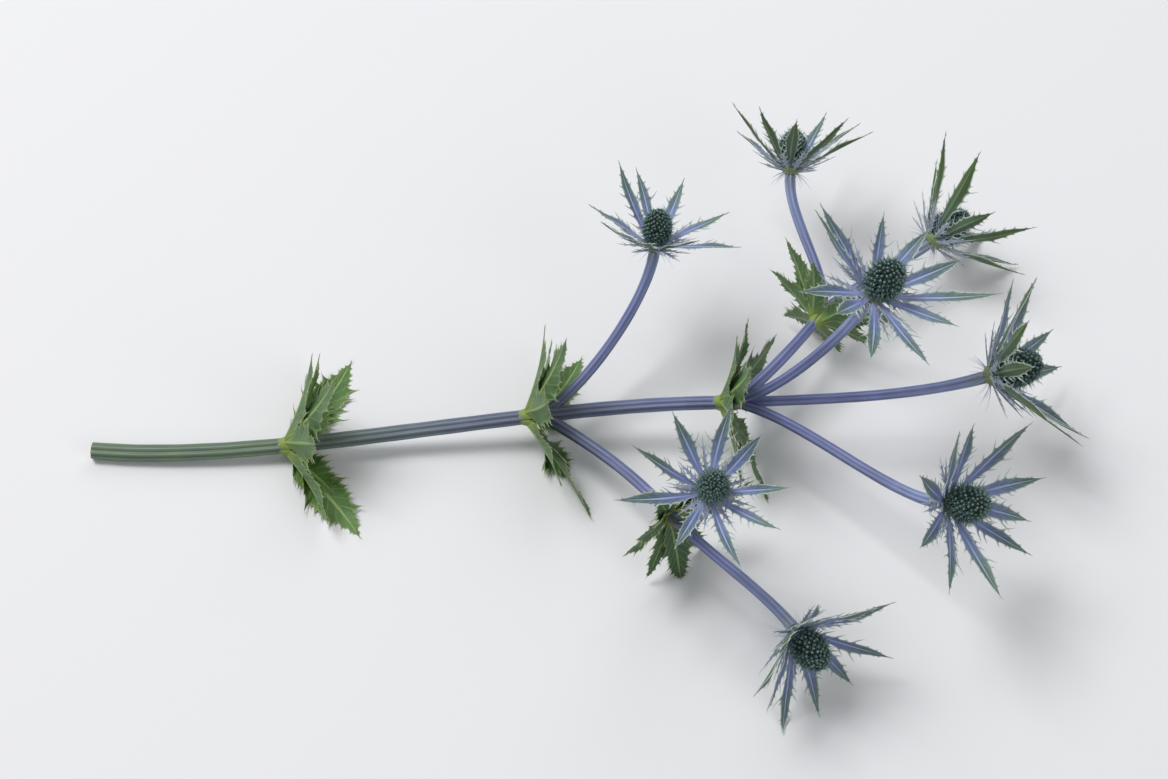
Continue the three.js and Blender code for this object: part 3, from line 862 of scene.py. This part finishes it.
def makeBract(bm, head, number):
    size, shape, spread = head["size"], bractShape, bractShape["spread"]
    draw = partial(chance, head["seed"], number)
    bearing = tau * (number + spread["bearing"] * (draw(1) - 0.5)) / head["bracts"]
    length = size * (shape["length"] + shape["lengthSpread"] * (draw(2) - 0.5))
    rise = head["rise"] + spread["rise"] * (draw(3) - 0.5)
    arch = head["arch"] + spread["arch"] * (draw(4) - 0.5)
    sweep = spread["sweep"] * (draw(5) - 0.5)
    line = risingLine(head, bearing, shape["start"] * size, shape["drop"], length, rise, arch, sweep)
    blade = {**bladeForm, **shape, "toothSize": size}
    blade["widest"] = size * shape["halfWidth"] * lerp(*shape["widthSpread"], draw(6))
    blade["base"] *= size
    blade["twist"] *= draw(11) - 0.5
    seed = head["seed"] * 50 + number
    addBlade(bm, blanks["bract"], line, blade, seed)
    addFringe(bm, line, blade, size, seed)


def makeNarrowBract(bm, head, number, row):
    size, shape = head["size"], narrowShape
    aside, shorter, lower = shape["rows"][row]
    draw = [chance(head["seed"], number, key + 3.7 * row) for key in (7, 8, 12)]
    bearing = tau * (number + aside) / head["bracts"]
    length = size * shorter * (shape["length"] + shape["lengthSpread"] * draw[0])
    rise = head["rise"] - shape["below"] - lower + shape["riseSpread"] * draw[1]
    line = risingLine(head, bearing, shape["start"] * size, shape["drop"], length, rise, shape["arch"])
    blade = {**bladeForm, **shape, "toothSize": size * lerp(0.7, 1, shorter)}
    blade["widest"] = size * shape["halfWidth"]
    blade["twist"] *= draw[2] - 0.5
    addBlade(bm, blanks["narrow"], line, blade, head["seed"] * 50 + number + 25 + 400 * row)


def makeSpines(bm, head):
    size, shape = head["size"], spineShape
    for number in range(shape["count"]):
        draw = partial(chance, head["seed"], number)
        bearing = tau * (number + 0.25 + 0.5 * (draw(13) - 0.5)) / shape["count"]
        length = size * (shape["length"] + shape["lengthSpread"] * draw(9))
        rise = -shape["down"] - shape["downSpread"] * draw(10)
        out, drop = shape["start"] * size, shape["drop"] * size
        line = risingLine(head, bearing, out, drop, length, rise, shape["arch"])
        addSpine(bm, line, shape["radius"], draw(14))


# The small cup that the bracts grow from. It is copied in, because a build whose vertices were
# merged no longer adds new ones at its end.
def makeCupBlank():
    bm = bmesh.new()
    verts = [bm.verts.new((out, 0, height)) for out, height in receptacle["outline"]]
    edges = [bm.edges.new(pair) for pair in zip(verts, verts[1:])]
    bmesh.ops.spin(bm, geom=verts + edges, axis=(0, 0, 1), cent=(0, 0, 0), angle=tau, steps=28,
                   use_merge=True)
    bmesh.ops.remove_doubles(bm, verts=bm.verts[:], dist=0.001)
    return meshFrom(bm, "cupBlank")


cupBlank = makeCupBlank()


def addCup(bm, head):
    along, up, side = head["axes"]
    for vert in addCopy(bm, cupBlank):
        spot = vert.co * head["size"]
        vert.co = head["centre"] + side * spot.x + up * spot.y + along * spot.z


def makeStar(head):
    bm = newBuild("along across upper tone reach spike fine")
    addCup(bm, head)
    for number in range(head["bracts"]):
        makeBract(bm, head, number)
        for row in range(1 + number % 2):
            makeNarrowBract(bm, head, number, row)
    makeSpines(bm, head)
    for vert in bm.verts:
        mark(bm, vert, reach=(vert.co - head["centre"]).length / (bractShape["length"] * head["size"]))
    finishPiece(f"star_{head['seed']}", bm, bractSkin, f"head_{head['seed']}_bracts")


for head in heads:
    makeStar(head)
print("bracts made")


# Cones of florets
coneShape = {
    "radius": 8.7, "height": 27.2, "taper": 0.12, "core": 0.97, "florets": 205, "covered": 1.86,
    "lean": 0.45, "tilt": 0.5, "sunk": 0.5, "stray": 0.055,  # how far a floret is off its place in the spiral
    "ringSize": (0.72, 1.06), "sizeSpread": (0.9, 1.12),  # of florets, from the top down and by chance
    "bud": 0.8, "budHeight": 1.8, "budTop": 0.5, "budPoint": 0.7,
    "spikes": (  # bearings, distance out, height, splay, length, radius, and how pale the foot is
        ([tau * i / 5 for i in range(5)], 0.56, 1.53, 0.35, 1.5, 0.42, 0.55),  # sepals
        ([pi / 2], 0.72, 0, 0.42, 6.2, 0.38, 0.1),  # the middle prong of the bracteole
        ([pi / 2 - 0.8, pi / 2 + 0.8], 0.72, 0, 0.42, 3.8, 0.38, 0.1),  # its side prongs
    ),
    "goldenTurn": 2.39996323,
}


# One floret: a bud with pointed sepals, and the three-pronged bracteole outside it.
def makeFloretBlank():
    bm = newBuild("tip")
    shape = coneShape
    width, tall, point = shape["bud"], shape["budHeight"], shape["budPoint"]
    for vert in addRod(bm, 6, width * 0.7, width):
        vert.co.z *= tall
    lid = max(bm.faces, key=lambda face: face.calc_center_median().z)
    raised = bmesh.ops.extrude_face_region(bm, geom=[lid])
    tops = [part for part in raised["geom"] if isinstance(part, bmesh.types.BMVert)]
    bmesh.ops.scale(bm, verts=tops, vec=(shape["budTop"], shape["budTop"], 1))
    bmesh.ops.translate(bm, verts=tops, vec=(0, 0, point))
    bmesh.ops.delete(bm, geom=[lid], context="FACES_ONLY")
    for vert in bm.verts:
        mark(bm, vert, tip=0.9 * max(vert.co.z / (tall + point), 0) ** 1.6)
    for bearings, out, base, splay, length, radius, pale in shape["spikes"]:
        for bearing in bearings:
            place = Matrix.Rotation(bearing, 4, "Z") @ Matrix.Translation((out, 0, base))
            place = place @ Matrix.Rotation(splay, 4, "Y")
            for vert in addRod(bm, 3, radius, 0):
                mark(bm, vert, tip=lerp(pale, 1, vert.co.z))
                vert.co.z *= length
                vert.co = place @ vert.co
    return meshFrom(bm, "floretBlank")


def makeCoreBlank():
    bm = bmesh.new()
    bmesh.ops.create_uvsphere(bm, u_segments=28, v_segments=18, radius=1)
    return meshFrom(bm, "coreBlank")


floretBlank = makeFloretBlank()
coreBlank = makeCoreBlank()


# A smooth core set with florets in a spiral, from the top down.
def makeCone(head):
    bm = newBuild("tip tone high")
    size, seed, shape = head["size"], head["seed"], coneShape
    along, up, side = head["axes"]
    foot = head["centre"] + along * (receptacle["top"] * size + 0.1)
    upright = Matrix((up, side, along)).transposed()
    radius, height = shape["radius"] * size, shape["height"] * size
    for vert in addCopy(bm, coreBlank):
        level = vert.co.z
        spot = Vector((vert.co.x, vert.co.y, 0)) * (radius * (1 - shape["taper"] * level)) * shape["core"]
        spot.z = max(height * (1 + level) / 2, 0)
        vert.co = foot + upright @ spot
        mark(bm, vert, tone=0.5, high=(1 + level) / 2)
    for number in range(shape["florets"]):
        draw = partial(chance, seed, number)
        level = 1 - shape["covered"] * (number + 0.5) / shape["florets"] + shape["stray"] * (draw(26) - 0.5)
        ring = sqrt(max(1 - level * level, 0))
        turn = number * shape["goldenTurn"] + 2 * shape["stray"] * (draw(25) - 0.5) / max(ring, 0.3)
        spread = Vector((cos(turn), sin(turn), 0))
        spot = spread * (radius * ring * (1 - shape["taper"] * level))
        spot.z = height * (1 + level) / 2
        normal = spread * ring / radius + Vector((0, 0, level * 2 / height))
        tilt = Vector([shape["tilt"] * (draw(key) - 0.5) for key in (19, 20, 24)])
        leaning = (normal.normalized() + Vector((0, 0, shape["lean"])) + tilt).normalized()
        around = Vector((0, 0, 1)).cross(leaning).normalized()
        inward = leaning.cross(around)
        turned = Matrix((around, -inward if inward.z > 0 else inward, leaning)).transposed()
        grown = size * lerp(*shape["ringSize"], ring) * lerp(*shape["sizeSpread"], draw(15))
        shade = draw(16)
        for vert in addCopy(bm, floretBlank):
            local = turned @ (vert.co * grown - Vector((0, 0, shape["sunk"])))
            vert.co = foot + upright @ (spot + local)
            mark(bm, vert, tone=shade, high=(1 + level) / 2)
    finishPiece(f"floret_cone_{seed}", bm, coneSkin, f"head_{seed}_cone")


for head in heads:
    makeCone(head)
print("cones made")


# Leaves
lobeShape = {
    "base": 3.4, "skew": 0.85, "power": 1.35, "thick": 0.75, "ridge": 0.6, "cup": 0.42,
    "arch": 0.3, "wave": 1.1, "waves": 2.2,
    "turns": (0, 0.286, -0.264),  # of the middle and side lobes, as shares of a third of a turn
    "side": (0.78, 0.868),  # length and width of a side lobe in the middle one's
    "rootTurn": 0.45, "openMore": 0.25,  # where a side lobe starts, and how much wider it opens
    "teeth": ((0.13, 2.2), (0.22, 3.2), (0.372, 5.2), (0.48, 2.6), (0.585, 3), (0.694, 3.6), (0.79, 1.8),
              (0.88, 1.4)),
    "fineTeeth": ((0.175, 1.3), (0.27, 1.6), (0.32, 1.8), (0.425, 1.7), (0.532, 1.6), (0.64, 1.6),
                  (0.742, 1.4), (0.835, 1.1), (0.925, 0.8)),
    "toothSpread": (1, 0.52, 0.24, 0.09), "toothLean": 0.75, "toothJitter": 0.035,
    "thornShare": 0.75, "thornRadius": 0.32, "tipThorn": 3,
    "toothLength": 60,  # length of a lobe whose teeth are as given
    "stacked": 0.8,  # lobes that lie on the table are this far over one another
}
sheathShape = {
    "height": 8.5, "drop": 1.2, "wall": 0.9, "below": 8, "slack": 0.5, "sunk": 0.45, "cadWall": 1.5,
    "span": tau / 3 - 0.1, "flare": 1.2, "thinSides": 0.6, "lowSides": 0.25,
    "bristles": 9, "bristle": 4.2, "bristleRadius": 0.3,
}


# A lobe leaves the sheath at an angle from the stem and arches outwards.
def addLobe(bm, node, bearing, part, seed):
    shape = lobeShape
    turn = shape["turns"][part] * tau / 3
    longer, wider = shape["side"] if part else (1, 1)
    root = spoke(node["axes"], bearing + turn * shape["rootTurn"])[0]
    start = node["centre"] + root * (node["radius"] + sheathShape["cadWall"] / 2)
    rise = radians(90 - node["open"]) - abs(turn) * shape["openMore"]
    line = arcLine(start, node["axes"], bearing + turn, node["length"] * longer, rise, -shape["arch"])
    blade = {**bladeForm, **shape, "lowest": plant["lowest"] + part * shape["stacked"]}
    blade["widest"] = node["halfWidth"] * wider
    blade["twist"] *= chance(seed, 3, 17) - 0.5
    blade["toothSize"] = node["length"] / shape["toothLength"]
    blade["wave"] *= blade["toothSize"]
    addBlade(bm, blanks["lobe"], line, blade, seed)


# The clasping base of a leaf: it rises out of the stem's skin and flares towards its upper edge.
def addSheath(bm, node, middle, shade):
    upper, shape, axes = bm.verts.layers.float["upper"], sheathShape, node["axes"]
    deep = shape["slack"] + shape["sunk"]
    for vert in addCopy(bm, blanks["sheath"]["mesh"]):
        sideways, upwards = vert.co.x * 2, vert.co.y + 0.5
        inside = node["radius"] - deep + shape["flare"] * upwards ** 3
        rising = (deep + shape["wall"]) * sin(upwards * pi / 2)
        reach = inside + (0 if vert[upper] > 0.5 else rising * (1 - shape["thinSides"] * sideways ** 4))
        height = (upwards - 0.5) * shape["height"] * (1 - shape["lowSides"] * sideways ** 2) - shape["drop"]
        bearing = middle + vert.co.x * shape["span"]
        vert.co = node["centre"] + spoke(axes, bearing)[0] * reach + axes[0] * height
        mark(bm, vert, tone=shade, along=0, across=0.6)


# Short bristles along the flared edge of a sheath.
def addBristles(bm, node, middle, seed):
    shape, axes = sheathShape, node["axes"]
    for number in range(shape["bristles"]):
        share = (number + 0.5) / shape["bristles"] - 0.5
        draw = chance(seed, number, 22)
        outward, roundward = spoke(axes, middle + shape["span"] * (share + 0.05 * (draw - 0.5)))
        start = node["centre"] + outward * (node["radius"] + shape["flare"])
        start += axes[0] * (shape["height"] * 0.3)
        leaving = (outward * 0.8 + axes[0] + roundward * (1.6 * share)).normalized()
        length = shape["bristle"] * lerp(0.6, 1.2, draw)
        addSpine(bm, bowedLine(start, leaving, outward * 0.3, length), shape["bristleRadius"], draw)


def makeLeaf(node, number, bearing, seed):
    bm = newBuild("along across upper tone reach spike young fine")
    middle = radians(bearing)
    addSheath(bm, node, middle, chance(seed, 5, 18))
    addBristles(bm, node, middle, seed)
    for part in range(len(lobeShape["turns"])):
        addLobe(bm, node, middle, part, seed * 10 + part)
    for vert in bm.verts:
        mark(bm, vert, reach=(vert.co - node["centre"]).length / node["length"], young=node["young"])
    name = f"leaf_{node['fork']}_{number}"
    finishPiece("lobed_" + name, bm, leafSkin, name)


seed = 200
for node in leafNodes:
    name, place = forks[node["fork"]]
    stem = stems[name]
    point, node["axes"] = station(stem["points"], place)
    node["centre"] = point - node["axes"][0] * sheathShape["below"]
    node["radius"] = lerp(*stem["radii"], place) * (1 + stemShape["ribHeight"]) + sheathShape["slack"]
    node["young"] = lerp(*stem["heights"], place)
    for number, bearing in enumerate(node["bearings"], 1):
        seed += 1
        makeLeaf(node, number, bearing, seed)
print("leaves made")


# Table, light and camera
studio = {
    "tableHalf": 8, "tableColour": (226, 226, 228), "tableRoughness": 0.8,
    "skyColour": (238, 240, 243), "sky": 0.36,
    "target": (0, 0, 0.055), "azimuth": 0, "elevation": 58, "distance": 1.75, "lens": 90,
    "lights": {  # power, place and size
        "keyLight": (176, (-2.2, 1.4, 4.2), 2.2),
        "fillLight": (45, (3.2, -2.8, 2.6), 3),
        "backLight": (45, (1.2, 3.6, 2.8), 3),
    },
}


def makeTable():
    bm = bmesh.new()
    bmesh.ops.create_grid(bm, x_segments=1, y_segments=1, size=studio["tableHalf"])
    mesh = meshFrom(bm, "table")
    material, _, shader = newMaterial("paleTable")
    shader.inputs["Base Color"].default_value = paint(*studio["tableColour"])
    shader.inputs["Roughness"].default_value = studio["tableRoughness"]
    mesh.materials.append(material)
    table = addObject("table", mesh)


# Puts a light or the camera in its place and turns it to the target.
def aim(thing, place):
    thing.location = place
    thing.rotation_euler = (Vector(studio["target"]) - Vector(place)).to_track_quat("-Z", "Y").to_euler()


def addLight(name, power, place, size):
    light = bpy.data.lights.new(name, "AREA")
    light.energy, light.size = power, size
    aim(addObject(name, light), place)


def makeCamera():
    data = bpy.data.cameras.new("camera")
    data.lens = studio["lens"]
    camera = addObject("camera", data)
    turn, tilt = radians(studio["azimuth"]), radians(studio["elevation"])
    back = Vector((sin(turn) * cos(tilt), -cos(turn) * cos(tilt), sin(tilt)))
    aim(camera, Vector(studio["target"]) + back * studio["distance"])
    bpy.context.scene.camera = camera


def makeSky():
    world = bpy.data.worlds.new("studio")
    world.use_nodes = True
    backdrop = world.node_tree.nodes["Background"]
    backdrop.inputs["Color"].default_value = paint(*studio["skyColour"])
    backdrop.inputs["Strength"].default_value = studio["sky"]
    bpy.context.scene.world = world


makeTable()
for name, light in studio["lights"].items():
    addLight(name, *light)
makeSky()
makeCamera()
bpy.context.scene.view_settings.view_transform = "Standard"
print("studio made")
